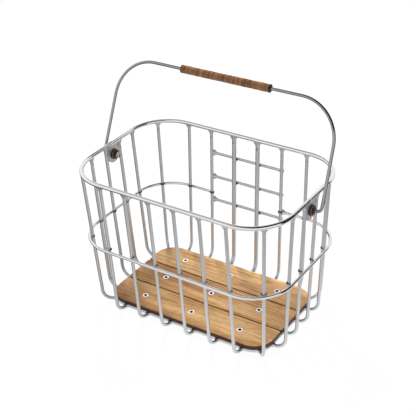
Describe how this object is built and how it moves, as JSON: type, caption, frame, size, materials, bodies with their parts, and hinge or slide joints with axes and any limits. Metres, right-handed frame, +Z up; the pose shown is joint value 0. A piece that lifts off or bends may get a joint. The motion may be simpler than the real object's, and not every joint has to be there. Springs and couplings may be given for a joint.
{
  "type": "shopping basket",
  "caption": "Tube and rod shopping basket with rounded corners, a wooden slatted floor, a rear grid and a swinging bail handle with a leather grip.",
  "frame": {"origin": "middle of the footprint, on the ground under the base ring", "axes": "+X along the long side, to the right seen from the front; +Y to the back, where the rear bars are; +Z up"},
  "size_m": [0.4416, 0.2746, 0.4185],
  "materials": {
    "polished_aluminium": "polished",
    "satin_aluminium": "satin",
    "polished_steel": "polished",
    "eyelet_steel": "polished",
    "wood": "oiled",
    "leather": "matt",
    "black_plastic": "satin"
  },
  "bodies": {
    "frame": {"top_rim": "polished_aluminium", "mid_ring": "polished_aluminium", "base_ring": "satin_aluminium", "front_upright_1": "satin_aluminium", "front_upright_2": "satin_aluminium", "front_upright_3": "satin_aluminium", "front_upright_4": "satin_aluminium", "front_upright_5": "satin_aluminium", "front_upright_6": "satin_aluminium", "back_upright_1": "satin_aluminium", "back_upright_2": "satin_aluminium", "back_upright_3": "satin_aluminium", "back_upright_4": "satin_aluminium", "back_upright_5": "satin_aluminium", "back_upright_6": "satin_aluminium", "left_upright_1": "satin_aluminium", "left_upright_2": "satin_aluminium", "left_upright_3": "satin_aluminium", "left_upright_4": "satin_aluminium", "right_upright_1": "satin_aluminium", "right_upright_2": "satin_aluminium", "right_upright_3": "satin_aluminium", "right_upright_4": "satin_aluminium", "corner_upright_front_left": "satin_aluminium", "corner_upright_front_right": "satin_aluminium", "corner_upright_back_left": "satin_aluminium", "corner_upright_back_right": "satin_aluminium", "rear_bar_low": "satin_aluminium", "rear_bar_middle": "satin_aluminium", "rear_bar_high": "satin_aluminium", "cross_rail_left": "satin_aluminium", "cross_rail_middle": "satin_aluminium", "cross_rail_right": "satin_aluminium", "plank_front": "wood", "plank_middle": "wood", "plank_back": "wood", "eyelets": "eyelet_steel", "pivot_plate_left": "satin_aluminium", "pivot_plate_right": "satin_aluminium", "pivot_bush_left": "black_plastic", "pivot_bush_right": "black_plastic", "inner_washer_left": "black_plastic", "inner_washer_right": "black_plastic"},
    "bail": {"bail_rod": "polished_steel", "grip_leather": "leather", "grip_cap_left": "black_plastic", "grip_cap_right": "black_plastic", "outer_leather_left": "leather", "outer_leather_right": "leather", "outer_end_washer_left": "black_plastic", "outer_end_washer_right": "black_plastic", "inner_leather_left": "leather", "inner_leather_right": "leather", "inner_end_washer_left": "black_plastic", "inner_end_washer_right": "black_plastic", "lock_nut_left": "polished_steel", "lock_nut_right": "polished_steel"}
  },
  "joints": [
    {"name": "bail_pivot", "type": "hinge", "parent": "frame", "child": "bail", "pos_m": [0, 0, 0.252], "axis": [1, 0, 0], "range_deg": [-101.25, 150]}
  ]
}
